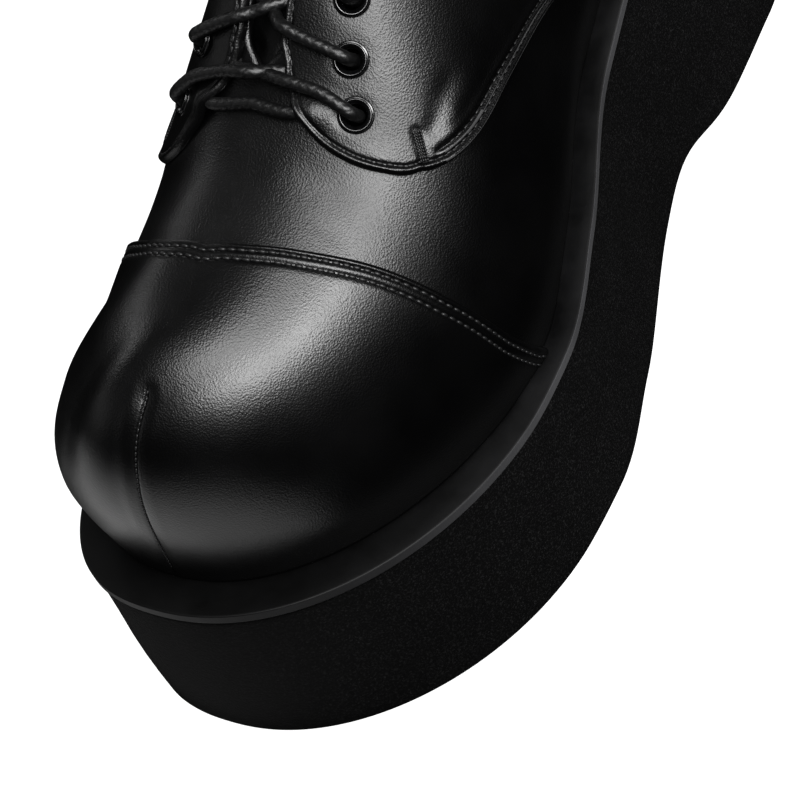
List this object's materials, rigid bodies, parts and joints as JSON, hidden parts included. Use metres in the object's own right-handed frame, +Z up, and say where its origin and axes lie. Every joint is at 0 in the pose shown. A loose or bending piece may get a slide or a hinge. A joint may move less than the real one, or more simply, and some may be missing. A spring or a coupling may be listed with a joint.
{
  "type": "platform shoe",
  "caption": "Black lace-up derby on a thick arched platform sole, with a full round stitched toe cap, proud lace tabs, ring eyelets and a low open collar.",
  "frame": {"origin": "centre of the bounding box on the ground plane under the sole", "axes": "+Z up, toe toward -Y, +X toward the wearer's left, which is the outer side of this left shoe"},
  "size_m": [0.1036, 0.2704, 0.1758],
  "materials": {
    "black_leather": "satin",
    "tongue_leather": "satin",
    "charcoal_foam": "matte",
    "black_rubber": "matte",
    "insole_board": "matte",
    "black_metal": "satin",
    "waxed_cord": "satin"
  },
  "bodies": {
    "root": {"platform_sole": "charcoal_foam", "welt": "black_rubber", "insole": "insole_board", "upper": "black_leather", "toe_cap": "black_leather", "quarter_outer": "black_leather", "quarter_inner": "black_leather", "tongue": "tongue_leather", "eyelet_outer_1": "black_metal", "eyelet_outer_2": "black_metal", "eyelet_outer_3": "black_metal", "eyelet_outer_4": "black_metal", "eyelet_outer_5": "black_metal", "eyelet_inner_1": "black_metal", "eyelet_inner_2": "black_metal", "eyelet_inner_3": "black_metal", "eyelet_inner_4": "black_metal", "eyelet_inner_5": "black_metal", "lace_cross_1": "waxed_cord", "lace_cross_2": "waxed_cord", "lace_cross_3": "waxed_cord", "lace_cross_4": "waxed_cord", "lace_bar": "waxed_cord"}
  },
  "joints": []
}
